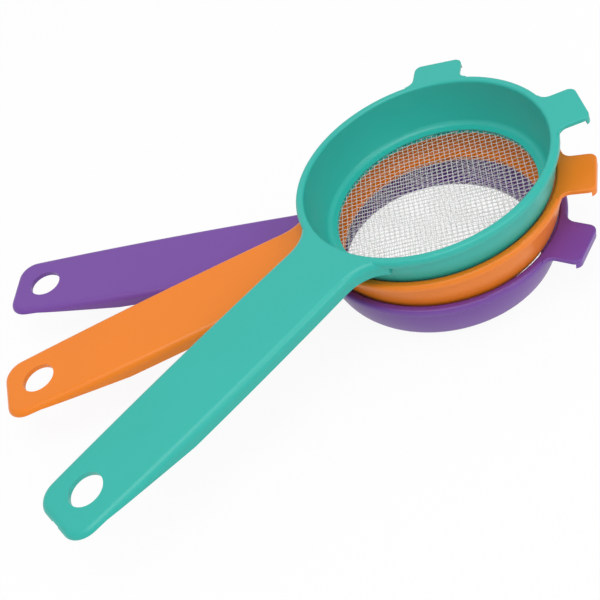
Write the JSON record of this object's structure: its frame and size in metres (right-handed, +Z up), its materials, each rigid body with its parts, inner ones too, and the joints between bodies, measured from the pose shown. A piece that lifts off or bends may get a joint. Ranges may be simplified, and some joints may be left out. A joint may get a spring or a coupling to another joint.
{
  "type": "sand sieve set",
  "caption": "Nested sand sieves: shallow round plastic frames with a woven mesh floor, a flat handle with a hanging hole, and hook lugs opposite the handle.",
  "frame": {"origin": "middle of the foot of the whole set's box, on the surface that the lowest sieve stands on", "axes": "+Z up, along the lowest sieve's bowl axis; -X along the middle (orange) sieve's handle, from the bowl to the hanging hole; +Y to the far side"},
  "size_m": [0.1892, 0.1229, 0.0431],
  "materials": {
    "teal_plastic": "satin",
    "orange_plastic": "satin",
    "purple_plastic": "satin",
    "white_mesh": "matte"
  },
  "bodies": {
    "teal_sieve": {"teal_frame": "teal_plastic", "teal_mesh": "white_mesh"},
    "orange_sieve": {"orange_frame": "orange_plastic", "orange_mesh": "white_mesh"},
    "purple_sieve": {"purple_frame": "purple_plastic", "purple_mesh": "white_mesh"}
  },
  "joints": [
    {"name": "orange_lift", "type": "slide", "parent": "purple_sieve", "child": "orange_sieve", "axis": [0, 0, 1], "range_m": [0, 0.06]},
    {"name": "teal_lift", "type": "slide", "parent": "orange_sieve", "child": "teal_sieve", "axis": [0, 0, 1], "range_m": [0, 0.06]}
  ]
}
